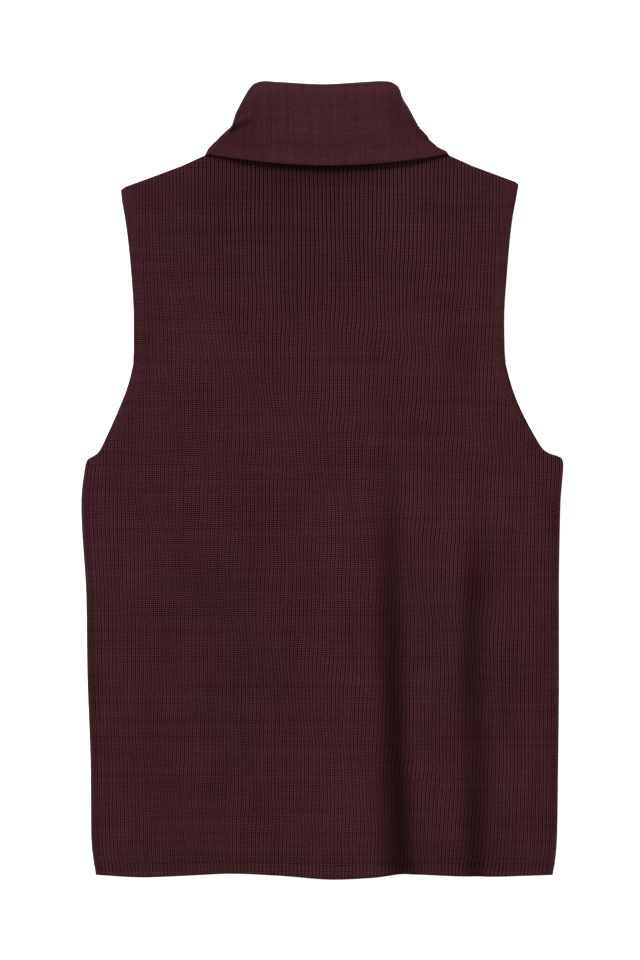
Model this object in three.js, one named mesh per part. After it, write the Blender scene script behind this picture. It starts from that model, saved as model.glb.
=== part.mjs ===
// A sleeveless roll-neck vest in 1x1 rib knit, laid flat on its front with its back up.
// Millimetres. +X runs across the vest, +Y from the hem to the collar, +Z up from the surface.
// "up" is a height above the hem's lowest point, measured along the vest, and "across" is a
// distance from the centre back line.
import * as THREE from 'three';

// Lengths of the whole vest
const VEST_LENGTH = 742;
const SEAM_GAP = 0.3;

// The rib knit of the body and its bands
const BODY_WALL = 2.3;
const RIB_RISE = 0.9;
const EDGE_WALL = 1.1;
const SEAM_WALL = 1.5;
const EDGE_ROUND = 3;
const RIBS_TO_SIDE = 63;
const RIBS_TO_SHOULDER = 52;
const PLAIN_STEP = 4;
const SHOULDER_SPREAD = 0.11;
const RIM_PER_RIB = 10;

// Landmarks along the vest
const HEM_SEAM = 14;
const UNDERARM = 386;
const ARMHOLE_NARROWS = 470;
const SHOULDER_TIP = 631;
const LEVELS = [110, 200, 290, 349, UNDERARM, 430, 456, 480, 510, 540, 600, 640];

// Half widths of the back, left and right of the centre line
const SIDES = [
  { up: 0, left: 209.8, right: 213.2 },
  { up: 14, left: 211.9, right: 215.7 },
  { up: 37, left: 214.8, right: 218.2 },
  { up: 103, left: 215.3, right: 219.2 },
  { up: 193, left: 218.4, right: 220.1 },
  { up: 260, left: 219.3, right: 220.0 },
  { up: 349, left: 224.1, right: 221.4 },
  { up: UNDERARM, left: 220.0, right: 224.1 },
  { up: 391, left: 217.3, right: 222.2 },
  { up: 394, left: 211.6, right: 216.5 },
  { up: 400, left: 206.2, right: 205.5 },
  { up: 408, left: 202.1, right: 199.9 },
  { up: 442, left: 187.0, right: 182.1 },
  { up: 464, left: 179.0, right: 174.3 },
  { up: 486, left: 175.2, right: 169.7 },
  { up: 520, left: 175.2, right: 169.1 },
  { up: 565, left: 177.7, right: 171.8 },
  { up: 609, left: 182.4, right: 175.9 },
  { up: 633, left: 186.4, right: 180.1 },
  { up: 655, left: 188.0, right: 184.0 },
];

// The shoulder slopes, from each tip to the neck point
const SHOULDERS = [
  { across: -190, up: 638 },
  { across: -186.4, up: 641.5 },
  { across: -183, up: 644.3 },
  { across: -83.8, up: 681.9 },
  { across: 86.2, up: 684.5 },
  { across: 179.5, up: 648.5 },
  { across: 182.3, up: 646 },
  { across: 186, up: 642 },
];

// The hem's wavy lower edge, and the seam that joins its band to the panel
const HEM = [
  { across: -212, edge: 4.3, seam: 14.0 },
  { across: -167, edge: 2.0, seam: 13.6 },
  { across: -134, edge: 3.2, seam: 16.0 },
  { across: -83, edge: 5.4, seam: 17.3 },
  { across: -40, edge: 3.6, seam: 15.8 },
  { across: 11, edge: 0, seam: 13.1 },
  { across: 45, edge: 1.5, seam: 13.8 },
  { across: 79, edge: 4.9, seam: 16.0 },
  { across: 125, edge: 3.2, seam: 15.0 },
  { across: 157, edge: 2.7, seam: 14.6 },
  { across: 215, edge: 4.2, seam: 14.5 },
];

// Soft ridges in the back where it stands a little off the front. Each is highest at "at" over
// the hem, leans across by "lean" for each millimetre up, and falls to nothing over its two widths
const RIDGES = [
  { at: -185, lean: 0, left: 30, right: 33, rise: 1.3, full: 250, gone: 350 },
  { at: -122, lean: 0, left: 30, right: 31, rise: 1.5, full: 250, gone: 370 },
  { at: 16, lean: -0.025, left: 105, right: 56, rise: 2.2, full: 240, gone: 400 },
  { at: 106, lean: -0.025, left: 34, right: 36, rise: 2.6, full: 230, gone: 420 },
  { at: 179, lean: 0, left: 37, right: 37, rise: 1.7, full: 260, gone: 430 },
];

// The neck opening and the collar that is folded over it
const NECK = { across: 1.2, half: 85, up: 683.2, tilt: 0.0153, backDrop: 7, frontDrop: 47 };
const NECK_CUT = { back: 0.4, front: 0.8, beyond: 4 };
const COLLAR_WALL = 2.1;
const COLLAR_INNER = 0.15;
const ROLL_FRONT = { across: 2.25, half: 82.75, up: 696.5, drop: 7 };
const FALL_EDGE = { across: 3.25, half: 107.25, up: 675, backDrop: 12.8, frontDrop: 63 };
const ROLL_BACK = [
  { across: -80.5, up: 696.5 },
  { across: -77.0, up: 709 },
  { across: -68.0, up: 729 },
  { across: -60.0, up: 738.2 },
  { across: -48.0, up: 739.5 },
  { across: 0, up: 737.4 },
  { across: 52.0, up: 739.6 },
  { across: 64.0, up: 737.2 },
  { across: 71.0, up: 729 },
  { across: 81.0, up: 708 },
  { across: 85.0, up: 696.5 },
];
const SIDE_TURN = { left: { across: -0.7, up: 0.71 }, right: { across: 0.66, up: 0.75 } };
const ROLL_DROP = { depth: 4.6, from: 697, over: 38 };
const COLLAR_SHARES = [0, 0.25, 0.5, 0.75, 1];
const COLLAR_STEPS = 20;
const TURN_STEPS = 4;

// The front, hidden below the back: it is cut a little smaller and its armholes are deeper
const FRONT_INSET = 0.9;
const FRONT_SCOOP = { depth: 8, from: 400, to: 620 };
const NECK_RISE = { across: 3, up: 675, half: 116, deep: 66, ramp: 1.15 };

// Heights of the layers, from the surface up
const FALL_LAYER = COLLAR_WALL + SEAM_GAP;
const BACK_REST = BODY_WALL + SEAM_GAP;
const STAND_OUTER = COLLAR_INNER + BODY_WALL;
const FALL_INNER = STAND_OUTER + SEAM_GAP;
const FALL_OUTER = FALL_INNER + COLLAR_WALL;

// Colours and finish of the two yarn fabrics
const RIB_KNIT = { color: 0x3b2026, roughness: 0.95, metalness: 0 };
const FINE_KNIT = { color: 0x40232a, roughness: 0.9, metalness: 0 };

function ease(share) {
  const t = THREE.MathUtils.clamp(share, 0, 1);
  return t * t * (3 - 2 * t);
}

// A smooth line through one column of a table, with no overshoot between its rows
function smoothColumn(rows, key, column) {
  const steps = rows.slice(1).map((row, i) => (row[column] - rows[i][column]) / (row[key] - rows[i][key]));
  const slopes = rows.map((row, i) => {
    const before = steps[Math.max(i - 1, 0)];
    const after = steps[Math.min(i, steps.length - 1)];
    return before * after <= 0 ? 0 : (2 * before * after) / (before + after);
  });
  return (at) => {
    const clamped = THREE.MathUtils.clamp(at, rows[0][key], rows[rows.length - 1][key]);
    const i = Math.max(rows.findIndex((row) => row[key] >= clamped) - 1, 0);
    const span = rows[i + 1][key] - rows[i][key];
    const t = (clamped - rows[i][key]) / span;
    const start = (1 + 2 * t) * (1 - t) ** 2 * rows[i][column] + t * (1 - t) ** 2 * span * slopes[i];
    const finish = t * t * (3 - 2 * t) * rows[i + 1][column] + t * t * (t - 1) * span * slopes[i + 1];
    return start + finish;
  };
}

function straightColumn(rows, key, column) {
  return (at) => {
    const clamped = THREE.MathUtils.clamp(at, rows[0][key], rows[rows.length - 1][key]);
    const i = Math.max(rows.findIndex((row) => row[key] >= clamped) - 1, 0);
    const t = (clamped - rows[i][key]) / (rows[i + 1][key] - rows[i][key]);
    return THREE.MathUtils.lerp(rows[i][column], rows[i + 1][column], t);
  };
}

const halfLeft = smoothColumn(SIDES, 'up', 'left');
const halfRight = smoothColumn(SIDES, 'up', 'right');
const hemEdge = smoothColumn(HEM, 'across', 'edge');
const hemSeam = smoothColumn(HEM, 'across', 'seam');
const shoulderUp = straightColumn(SHOULDERS, 'across', 'up');

// The two body panels differ in how far they are cut in from the outline and in their neck
const BACK = {
  inset: () => 0,
  neckDrop: NECK.backDrop,
  neckCut: NECK_CUT.back,
};
const FRONT = {
  inset: (up) => {
    const share = THREE.MathUtils.clamp((up - FRONT_SCOOP.from) / (FRONT_SCOOP.to - FRONT_SCOOP.from), 0, 1);
    return FRONT_INSET + FRONT_SCOOP.depth * Math.sin(Math.PI * share) ** 2;
  },
  neckDrop: NECK.frontDrop,
  neckCut: NECK_CUT.front,
};

function halfWidth(panel, rib, up) {
  return (rib < 0 ? halfLeft(up) : halfRight(up)) - panel.inset(up);
}

// How many ribs lie between the centre line and the edge at a height: all of them below the
// underarm, fewer up the armhole as ribs end on it
function ribsToEdge(panel, rib, up) {
  if (up <= UNDERARM) return RIBS_TO_SIDE;
  const kept = (RIBS_TO_SIDE * halfWidth(panel, rib, up)) / halfWidth(panel, rib, UNDERARM);
  return THREE.MathUtils.clamp(kept, RIBS_TO_SHOULDER, RIBS_TO_SIDE);
}

// Where a rib runs: evenly spaced below, and spread towards the centre over the shoulders
function ribAcross(panel, rib, up) {
  const share = Math.abs(rib) / ribsToEdge(panel, rib, up);
  const spread = SHOULDER_SPREAD * ease((up - ARMHOLE_NARROWS) / (SHOULDER_TIP - ARMHOLE_NARROWS));
  const eased = (1 + spread) * share - spread * share ** 3;
  return Math.sign(rib) * halfWidth(panel, rib, up) * eased;
}

function neckUp(across, drop) {
  const share = THREE.MathUtils.clamp((across - NECK.across) / NECK.half, -1, 1);
  return NECK.up + NECK.tilt * (across - NECK.across) - drop * (1 - share * share);
}

// The top edge of a panel: its shoulder slopes, and the neck cut between them
function panelTop(panel, across) {
  const shoulder = shoulderUp(across) - panel.inset(VEST_LENGTH);
  const nearNeck = Math.abs(across - NECK.across) < NECK.half + NECK_CUT.beyond;
  return nearNeck ? Math.min(shoulder, neckUp(across, panel.neckDrop) - panel.neckCut) : shoulder;
}

// The height at which a rib ends, found by halving: on the armhole for the outer ribs, and on the
// shoulder or the neck for the others
function ribTop(panel, rib) {
  const outer = Math.abs(rib) > RIBS_TO_SHOULDER;
  const inside = (up) => outer
    ? ribsToEdge(panel, rib, up) > Math.abs(rib)
    : up < panelTop(panel, ribAcross(panel, rib, up));
  let low = UNDERARM;
  let high = outer ? ARMHOLE_NARROWS : VEST_LENGTH;
  for (let turn = 0; turn < 30; turn += 1) {
    const middle = (low + high) / 2;
    if (inside(middle)) low = middle;
    else high = middle;
  }
  return low;
}

// The rise of both panels over the front of the folded collar, which lies below them
function neckRise(across, up) {
  const sideways = (across - NECK_RISE.across) / NECK_RISE.half;
  const down = Math.max(0, NECK_RISE.up - up) / NECK_RISE.deep;
  const away = Math.hypot(sideways, down);
  return FALL_LAYER * ease(1 - (away - 1) / NECK_RISE.ramp);
}

function ridgeHeight(across, up) {
  return RIDGES.reduce((sum, ridge) => {
    const off = across - (ridge.at + ridge.lean * up);
    const share = Math.min(Math.abs(off) / (off < 0 ? ridge.left : ridge.right), 1);
    const along = 1 - ease((up - ridge.full) / (ridge.gone - ridge.full));
    return sum + ridge.rise * along * 0.5 * (1 + Math.cos(Math.PI * share));
  }, 0);
}

// Solids are gathered as points and triangles, then become one closed mesh
class Cloth {
  constructor() {
    this.points = [];
    this.faces = [];
  }

  add(across, up, height) {
    this.points.push(across, up - VEST_LENGTH / 2, height);
    return this.points.length / 3 - 1;
  }

  // Joins two rows of points that run the same way, each with its place along the row. Seen with
  // the second row to the right of the first, the faces turn towards the viewer
  join(first, second) {
    let i = 0;
    let j = 0;
    while (i < first.length - 1 || j < second.length - 1) {
      const stepFirst = i < first.length - 1 ? first[i + 1].place : Infinity;
      const stepSecond = j < second.length - 1 ? second[j + 1].place : Infinity;
      if (stepFirst < stepSecond) {
        this.faces.push(first[i].id, second[j].id, first[i + 1].id);
        i += 1;
      } else {
        this.faces.push(first[i].id, second[j].id, second[j + 1].id);
        j += 1;
      }
    }
  }

  mesh(name, finish) {
    const geometry = new THREE.BufferGeometry();
    geometry.setAttribute('position', new THREE.Float32BufferAttribute(this.points, 3));
    geometry.setIndex(this.faces);
    geometry.computeVertexNormals();
    const mesh = new THREE.Mesh(geometry, new THREE.MeshStandardMaterial(finish));
    mesh.name = name;
    return mesh;
  }
}

// The ribs at which a face has its columns: each crest and valley where the ribs are raised, and
// every few ribs where it is plain, closer along the armhole
function ribColumns(raised) {
  if (raised) {
    return Array.from({ length: 4 * RIBS_TO_SIDE + 1 }, (_, i) => i / 2 - RIBS_TO_SIDE);
  }
  const half = [];
  for (let rib = PLAIN_STEP; rib <= RIBS_TO_SHOULDER; rib += PLAIN_STEP) half.push(rib);
  for (let rib = RIBS_TO_SHOULDER + 2; rib < RIBS_TO_SIDE; rib += 2) half.push(rib);
  half.push(RIBS_TO_SIDE);
  return [...half.map((rib) => -rib).reverse(), 0, ...half];
}

// One face of a flat piece: a column of points for each rib, with the place of each point
function faceColumns(cloth, ribs, levelsOf, heightOf, acrossOf) {
  return ribs.map((rib) => levelsOf(rib).map((up, i, levels) => {
    const across = acrossOf(rib, up);
    const atEnd = i === 0 ? 'bottom' : i === levels.length - 1 ? 'top' : 'inside';
    const id = cloth.add(across, up, heightOf(rib, up, across, atEnd));
    return { id, place: i / (levels.length - 1), up, rib };
  }));
}

// The shoulder rib runs on along the armhole above the point where the next rib ends, so only its
// lower points are joined to that rib
function sharedPoints(column, other) {
  const rib = Math.abs(column[0].rib);
  if (rib !== RIBS_TO_SHOULDER || Math.abs(other[0].rib) < rib) return column;
  const beyond = column.findIndex((point) => point.up > other[other.length - 1].up);
  return beyond < 0 ? column : column.slice(0, beyond + 1);
}

// Pairs of columns share the heights of LEVELS, so they are joined by height
function joinFace(cloth, columns, facesUp) {
  const byUp = (column, other) => column.map((point, i) => {
    const last = i === column.length - 1;
    const place = last ? Math.max(point.up, other[other.length - 1].up) : point.up;
    return { id: point.id, place: i === 0 ? 0 : place };
  });
  for (let i = 0; i < columns.length - 1; i += 1) {
    const first = sharedPoints(columns[i], columns[i + 1]);
    const second = sharedPoints(columns[i + 1], columns[i]);
    const left = byUp(first, second);
    const right = byUp(second, first);
    if (facesUp) cloth.join(left, right);
    else cloth.join(right, left);
  }
}

// The top edge of a face from its right side to its left one: the ends of its ribs, and the
// shoulder ribs' points where they run along the armholes
function topEdge(columns) {
  const right = columns.findIndex((column) => column[0].rib === RIBS_TO_SHOULDER);
  const left = columns.findIndex((column) => column[0].rib === -RIBS_TO_SHOULDER);
  const end = (column) => column[column.length - 1];
  const armhole = (rib, outer) => rib.slice(sharedPoints(rib, outer).length - 1);
  const rightSide = [
    ...columns.slice(right + 1).reverse().map(end),
    ...armhole(columns[right], columns[right + 1]),
  ];
  const middle = columns.slice(left + 1, right).reverse().map(end);
  const leftSide = [
    ...columns.slice(0, left).map(end),
    ...armhole(columns[left], columns[left - 1]),
  ].reverse();
  const placed = (points, from, sign) => points.map((point) => ({
    id: point.id,
    place: from + sign * point.up - RIM_PER_RIB * point.rib,
  }));
  return [
    ...placed(rightSide, 0, 1),
    ...placed(middle, VEST_LENGTH, 0),
    ...placed(leftSide, 2 * VEST_LENGTH, -1),
  ];
}

// The wall round a piece, from the edge of its upper face to the edge of its lower one
function joinRim(cloth, upper, lower) {
  const bottoms = (columns) => columns.map((column) => ({ id: column[0].id, place: column[0].rib }));
  const side = (column) => column.map((point) => ({ id: point.id, place: point.place }));
  const sideDown = (column) => column.map((point) => ({ id: point.id, place: 1 - point.place })).reverse();
  cloth.join(bottoms(upper), bottoms(lower));
  cloth.join(side(upper[upper.length - 1]), side(lower[lower.length - 1]));
  cloth.join(topEdge(upper), topEdge(lower));
  cloth.join(sideDown(upper[0]), sideDown(lower[0]));
}

function onEdge(panel, rib, up) {
  return Math.abs(rib) >= ribsToEdge(panel, rib, up) - 0.01;
}

function ribWall(rib, wall, rise) {
  return Number.isInteger(rib) ? wall : wall - rise;
}

// A panel's levels on one rib: its seam with the hem band, the shared heights, and its own top,
// each end with a level just inside it where the wall has its full thickness
function panelLevels(panel, rib) {
  const foot = hemSeam(ribAcross(panel, rib, HEM_SEAM)) + SEAM_GAP;
  const top = ribTop(panel, rib);
  const between = LEVELS.filter((up) => up > foot + 2 * EDGE_ROUND && up < top - 2 * EDGE_ROUND);
  return [foot, foot + EDGE_ROUND, ...between, top - EDGE_ROUND, top];
}

function backPanel() {
  const cloth = new Cloth();
  const base = (across, up) => BACK_REST + neckRise(across, up) + ridgeHeight(across, up);
  const outside = (rib, up, across, atEnd) => {
    const full = ribWall(rib, BODY_WALL, RIB_RISE);
    const edged = atEnd === 'top' || onEdge(BACK, rib, up) ? Math.min(full, EDGE_WALL) : full;
    return base(across, up) + (atEnd === 'bottom' ? Math.min(edged, SEAM_WALL) : edged);
  };
  const inside = (rib, up, across) => base(across, up);
  const levels = (rib) => panelLevels(BACK, rib);
  const across = (rib, up) => ribAcross(BACK, rib, up);
  const upper = faceColumns(cloth, ribColumns(true), levels, outside, across);
  const lower = faceColumns(cloth, ribColumns(false), levels, inside, across);
  joinFace(cloth, upper, true);
  joinFace(cloth, lower, false);
  joinRim(cloth, upper, lower);
  return cloth.mesh('back_panel', RIB_KNIT);
}

// The front rests on the surface with a flat underside, cut in a little more than its upper face
function frontPanel() {
  const cloth = new Cloth();
  const above = (rib, up, across, atEnd) => {
    const edged = atEnd !== 'inside' || onEdge(FRONT, rib, up);
    return neckRise(across, up) + (edged ? BODY_WALL - EDGE_WALL / 2 : BODY_WALL);
  };
  const below = (rib, up, across) => neckRise(across, up);
  const levels = (rib) => panelLevels(FRONT, rib);
  const across = (rib, up) => ribAcross(FRONT, rib, up);
  const acrossBelow = (rib, up) => {
    const inward = onEdge(FRONT, rib, up) ? Math.sign(rib) * FRONT_INSET : 0;
    return ribAcross(FRONT, rib, up) - inward;
  };
  const upper = faceColumns(cloth, ribColumns(false), levels, above, across);
  const lower = faceColumns(cloth, ribColumns(false), levels, below, acrossBelow);
  joinFace(cloth, upper, true);
  joinFace(cloth, lower, false);
  joinRim(cloth, upper, lower);
  return cloth.mesh('front_panel', RIB_KNIT);
}

// A hem band's levels on one rib, from the wavy edge to the seam
function bandLevels(panel, rib, short) {
  const across = ribAcross(panel, rib, HEM_SEAM);
  const foot = hemEdge(across) + short;
  const seam = hemSeam(across);
  return [foot, foot + EDGE_ROUND, seam - EDGE_ROUND, seam];
}

function backHemBand() {
  const cloth = new Cloth();
  const base = (across, up) => BACK_REST + ridgeHeight(across, up);
  const outside = (rib, up, across, atEnd) => {
    const full = ribWall(rib, BODY_WALL, RIB_RISE);
    const edged = atEnd === 'bottom' || onEdge(BACK, rib, up) ? Math.min(full, EDGE_WALL) : full;
    return base(across, up) + (atEnd === 'top' ? Math.min(edged, SEAM_WALL) : edged);
  };
  const inside = (rib, up, across) => base(across, up);
  const levels = (rib) => bandLevels(BACK, rib, 0);
  const across = (rib, up) => ribAcross(BACK, rib, up);
  const upper = faceColumns(cloth, ribColumns(true), levels, outside, across);
  const lower = faceColumns(cloth, ribColumns(false), levels, inside, across);
  joinFace(cloth, upper, true);
  joinFace(cloth, lower, false);
  joinRim(cloth, upper, lower);
  return cloth.mesh('back_hem_band', RIB_KNIT);
}

function frontHemBand() {
  const cloth = new Cloth();
  const above = (rib, up, across, atEnd) => {
    const edged = atEnd !== 'inside' || onEdge(FRONT, rib, up);
    return edged ? BODY_WALL - EDGE_WALL / 2 : BODY_WALL;
  };
  const below = () => 0;
  const levels = (rib) => bandLevels(FRONT, rib, FRONT_INSET);
  const across = (rib, up) => ribAcross(FRONT, rib, up);
  const upper = faceColumns(cloth, ribColumns(false), levels, above, across);
  const lower = faceColumns(cloth, ribColumns(false), levels, below, across);
  joinFace(cloth, upper, true);
  joinFace(cloth, lower, false);
  joinRim(cloth, upper, lower);
  return cloth.mesh('front_hem_band', RIB_KNIT);
}

// The collar's three guide lines in plan, for one side and an angle from -90 degrees at the left
// to 90 at the right: the neck seam, the roll where it folds over, and the free edge of its fall
function collarGuides(isBack, angle, rollCurve) {
  const sideways = Math.sin(angle);
  const middle = Math.cos(angle);
  const neckAcross = NECK.across + NECK.half * sideways;
  const neck = new THREE.Vector2(neckAcross, neckUp(neckAcross, isBack ? NECK.backDrop : NECK.frontDrop));
  const roll = new THREE.Vector2(
    ROLL_FRONT.across + ROLL_FRONT.half * sideways,
    ROLL_FRONT.up - ROLL_FRONT.drop * middle,
  );
  if (isBack) {
    const point = rollCurve.getPointAt(THREE.MathUtils.clamp(angle / Math.PI + 0.5, 0, 1));
    roll.set(point.x, point.y);
  }
  const drop = isBack ? FALL_EDGE.backDrop * middle * middle : FALL_EDGE.frontDrop * middle;
  const edge = new THREE.Vector2(FALL_EDGE.across + FALL_EDGE.half * sideways, FALL_EDGE.up - drop);
  return { neck, roll, edge };
}

// A point in plan on the stand (between neck and roll) or on the fall (from the roll to its edge).
// A share of 1 is one stand's length down from the roll, and 2 is the free edge
function collarPlan(guides, onFall, share) {
  const standLength = guides.roll.distanceTo(guides.neck);
  if (!onFall) return guides.roll.clone().lerp(guides.neck, share);
  const fallLength = guides.roll.distanceTo(guides.edge);
  const near = Math.min(share, 1) * standLength;
  const far = Math.max(share - 1, 0) * (fallLength - standLength);
  return guides.roll.clone().lerp(guides.edge, (near + far) / fallLength);
}

// One ring of the collar, at a height from its middle layer. It runs over the back from left to
// right, turns down round the right side, returns under the front and turns up round the left
function collarRing(cloth, rollCurve, station) {
  const ids = [];
  const middleHeight = FALL_OUTER;
  const place = (isBack, angle, turn) => {
    const guides = collarGuides(isBack, angle, rollCurve);
    const plan = collarPlan(guides, station.onFall, station.share);
    const lift = guides.roll.clone().sub(guides.neck).normalize().multiplyScalar(station.lift);
    const side = angle < 0 ? SIDE_TURN.left : SIDE_TURN.right;
    const outward = station.height * Math.cos(turn);
    const rollUp = ease((guides.roll.y - ROLL_DROP.from) / ROLL_DROP.over);
    const drop = isBack ? ROLL_DROP.depth * rollUp * (1 - ease(station.share)) : 0;
    const height = middleHeight - drop + station.height * Math.sin(turn);
    plan.add(lift);
    ids.push(cloth.add(plan.x + side.across * outward, plan.y + side.up * outward, height));
  };
  const quarter = Math.PI / 2;
  for (let step = 0; step <= COLLAR_STEPS; step += 1) {
    place(true, -quarter + (Math.PI * step) / COLLAR_STEPS, quarter);
  }
  for (let step = 1; step < TURN_STEPS; step += 1) {
    place(true, quarter, quarter - (Math.PI * step) / TURN_STEPS);
  }
  for (let step = 0; step <= COLLAR_STEPS; step += 1) {
    place(false, quarter - (Math.PI * step) / COLLAR_STEPS, -quarter);
  }
  for (let step = 1; step < TURN_STEPS; step += 1) {
    place(true, -quarter, -quarter + (Math.PI * step) / TURN_STEPS);
  }
  return ids;
}

// The collar is one wall: up inside the stand, over the roll, down the fall, round its free edge,
// and back up between fall and stand to the neck seam
function collar() {
  const cloth = new Cloth();
  const rollCurve = new THREE.CatmullRomCurve3(
    ROLL_BACK.map((row) => new THREE.Vector3(row.across, row.up, 0)),
    false,
    'centripetal',
  );
  const rollMiddle = (STAND_OUTER + FALL_INNER) / 2;
  const rollOuter = rollMiddle - COLLAR_INNER;
  const rollSlot = FALL_INNER - rollMiddle;
  const shares = COLLAR_SHARES;
  const inside = [...shares].reverse().map((share) => ({
    onFall: false,
    share,
    height: COLLAR_INNER,
    lift: 0,
  }));
  const overRoll = [0.25, 0.5, 0.75].map((part) => ({
    onFall: false,
    share: 0,
    height: rollMiddle - rollOuter * Math.cos(Math.PI * part),
    lift: rollOuter * Math.sin(Math.PI * part),
  }));
  const outside = [...shares, 1.6].map((share) => ({ onFall: true, share, height: FALL_OUTER, lift: 0 }));
  const freeEdge = [
    { onFall: true, share: 2, height: FALL_OUTER - COLLAR_WALL / 3, lift: 0 },
    { onFall: true, share: 2, height: FALL_INNER, lift: 0 },
  ];
  const underFall = [1.6, ...[...shares].reverse()].map((share) => ({
    onFall: true,
    share,
    height: FALL_INNER,
    lift: 0,
  }));
  const slot = [{ onFall: false, share: 0, height: rollMiddle, lift: rollSlot }];
  const standFace = shares.map((share) => ({ onFall: false, share, height: STAND_OUTER, lift: 0 }));
  const stations = [...inside, ...overRoll, ...outside, ...freeEdge, ...underFall, ...slot, ...standFace];
  const rings = stations.map((station) => collarRing(cloth, rollCurve, station));
  rings.forEach((ring, i) => {
    const next = rings[(i + 1) % rings.length];
    ring.forEach((id, j) => {
      const k = (j + 1) % ring.length;
      cloth.faces.push(id, next[j], next[k]);
      cloth.faces.push(id, next[k], ring[k]);
    });
  });
  return cloth.mesh('collar', FINE_KNIT);
}

const vest = new THREE.Group();
vest.add(frontPanel(), frontHemBand(), backPanel(), backHemBand(), collar());

export default vest;
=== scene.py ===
import math

import bmesh
import bpy
import numpy as np
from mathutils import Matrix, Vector


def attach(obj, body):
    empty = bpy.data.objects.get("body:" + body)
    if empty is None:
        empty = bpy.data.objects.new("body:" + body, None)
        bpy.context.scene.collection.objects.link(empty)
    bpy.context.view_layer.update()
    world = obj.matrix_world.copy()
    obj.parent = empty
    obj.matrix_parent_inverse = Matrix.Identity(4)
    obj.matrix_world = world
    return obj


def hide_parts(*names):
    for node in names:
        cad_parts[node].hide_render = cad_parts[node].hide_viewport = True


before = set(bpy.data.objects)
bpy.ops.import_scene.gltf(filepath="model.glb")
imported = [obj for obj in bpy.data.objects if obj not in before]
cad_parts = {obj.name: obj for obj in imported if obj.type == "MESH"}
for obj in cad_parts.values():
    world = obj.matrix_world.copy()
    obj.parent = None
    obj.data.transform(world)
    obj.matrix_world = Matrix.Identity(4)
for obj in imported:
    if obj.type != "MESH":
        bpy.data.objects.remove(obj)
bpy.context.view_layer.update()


# Front panel
# The vest lies on it. It is a flat 1x1 rib knit in dark aubergine yarn, about 126 ribs wide, fully
# fashioned in the armholes and cut deep at the neck. Its outer face of ribs is the one below.

# The scene's own unit is the metre, and every size in this file is in millimetres. "up" is a
# height above the hem's lowest point, and "across" is a distance from the centre back line.
MM = 0.001
VEST_LENGTH = 742
SEAM_GAP = 0.3

BODY_WALL = 2.3
UNDERARM = 386
SHOULDER_TIP = 631

# The ribs on each side of the centre line fan out towards the shoulders, and the outermost ones
# bend to the outline: the higher the power, the fewer do
RIBS_TO_SIDE = 63
FAN_MIDDLE = 0.116
FAN_OUTER = 0.163
BEND_POWER = 5
HALVINGS = 40

# Half widths left and right of the centre line: up, left, right
SIDES = [
    (0, 209.8, 213.2),
    (14, 211.9, 215.7),
    (37, 214.8, 218.2),
    (103, 215.3, 219.2),
    (193, 218.4, 220.1),
    (260, 219.3, 220.0),
    (349, 224.1, 221.4),
    (386, 220.0, 224.1),
    (391, 217.3, 223.0),
    (393.5, 212.6, 219.2),
    (395.3, 209.8, 212.8),
    (397.2, 208.0, 209.0),
    (400, 206.0, 205.3),
    (408, 202.1, 199.9),
    (442, 187.0, 182.1),
    (464, 179.0, 174.3),
    (486, 175.2, 169.7),
    (520, 175.2, 169.1),
    (565, 177.7, 171.8),
    (609, 182.4, 175.9),
    (633, 186.4, 180.1),
    (655, 188.0, 184.0),
]

# The gentler line that the ribs away from the sides follow: up, left, right
SPREAD = [
    (0, 209.8, 213.2),
    (37, 213.4, 216.8),
    (103, 215.6, 219.2),
    (193, 218.2, 220.3),
    (260, 219.8, 221.0),
    (349, 222.0, 222.2),
    (440, 222.6, 222.8),
]

# The shoulder slopes, from each tip to the neck point: across, up
SHOULDERS = [
    (-190, 637.6),
    (-186.4, 641.0),
    (-183, 643.7),
    (-155, 653.8),
    (-130, 663.1),
    (-112, 671.4),
    (-83.8, 682.6),
    (86.2, 684.6),
    (118, 672.6),
    (139, 663.1),
    (163, 654.3),
    (179.5, 648.2),
    (182.3, 645.8),
    (186, 641.9),
]

# The wavy lower edge, and the seam that joins its band to the panel: across, edge, seam
HEM = [
    (-212, 4.3, 14.0),
    (-167, 2.0, 13.6),
    (-134, 3.2, 16.0),
    (-83, 5.4, 17.3),
    (-40, 3.6, 15.8),
    (11, 0, 13.1),
    (45, 1.5, 13.8),
    (79, 4.9, 16.0),
    (125, 3.2, 15.0),
    (157, 2.7, 14.6),
    (215, 4.2, 14.5),
]
HEM_SEAM = 14

# The neck line, and the room that the folded collar takes between the panels and the surface
NECK_ACROSS = 1.2
NECK_HALF = 85
NECK_UP = 683.2
NECK_TILT = 0.0153
NECK_BEYOND = 4
NECK_RISE_ACROSS = 3
NECK_RISE_UP = 675
NECK_RISE_HALF = 116
NECK_RISE_DEEP = 66
NECK_RISE_RAMP = 1.15
COLLAR_WALL = 2.1
FALL_LAYER = COLLAR_WALL + SEAM_GAP

# The front is cut a little smaller, with deeper armholes
FRONT_INSET = 0.9
FRONT_SCOOP = 8
FRONT_SCOOP_FROM = 400
FRONT_SCOOP_TO = 620
FRONT_NECK_DROP = 47
FRONT_NECK_CUT = 0.8

# Relief of the ribs on the outer and inner face: the higher the power, the narrower the valleys
RIB_RISE = 0.65
INNER_RISE = 0.5
VALLEY_POWER = 1.8
RIB_COLUMNS = 5

# Edges are rounded over a width, with rows of points at shares of it. Where two pieces are linked
# their edges meet at a height, which holds for a few roundings
EDGE_ROUND = 1.7
SEAM_ROUND = 0.6
SEAM_PIVOT = 1.75
SEAM_REACH = 4
ROUND_POINTS = np.array([0, 0.12, 0.45, 1.0])

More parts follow.
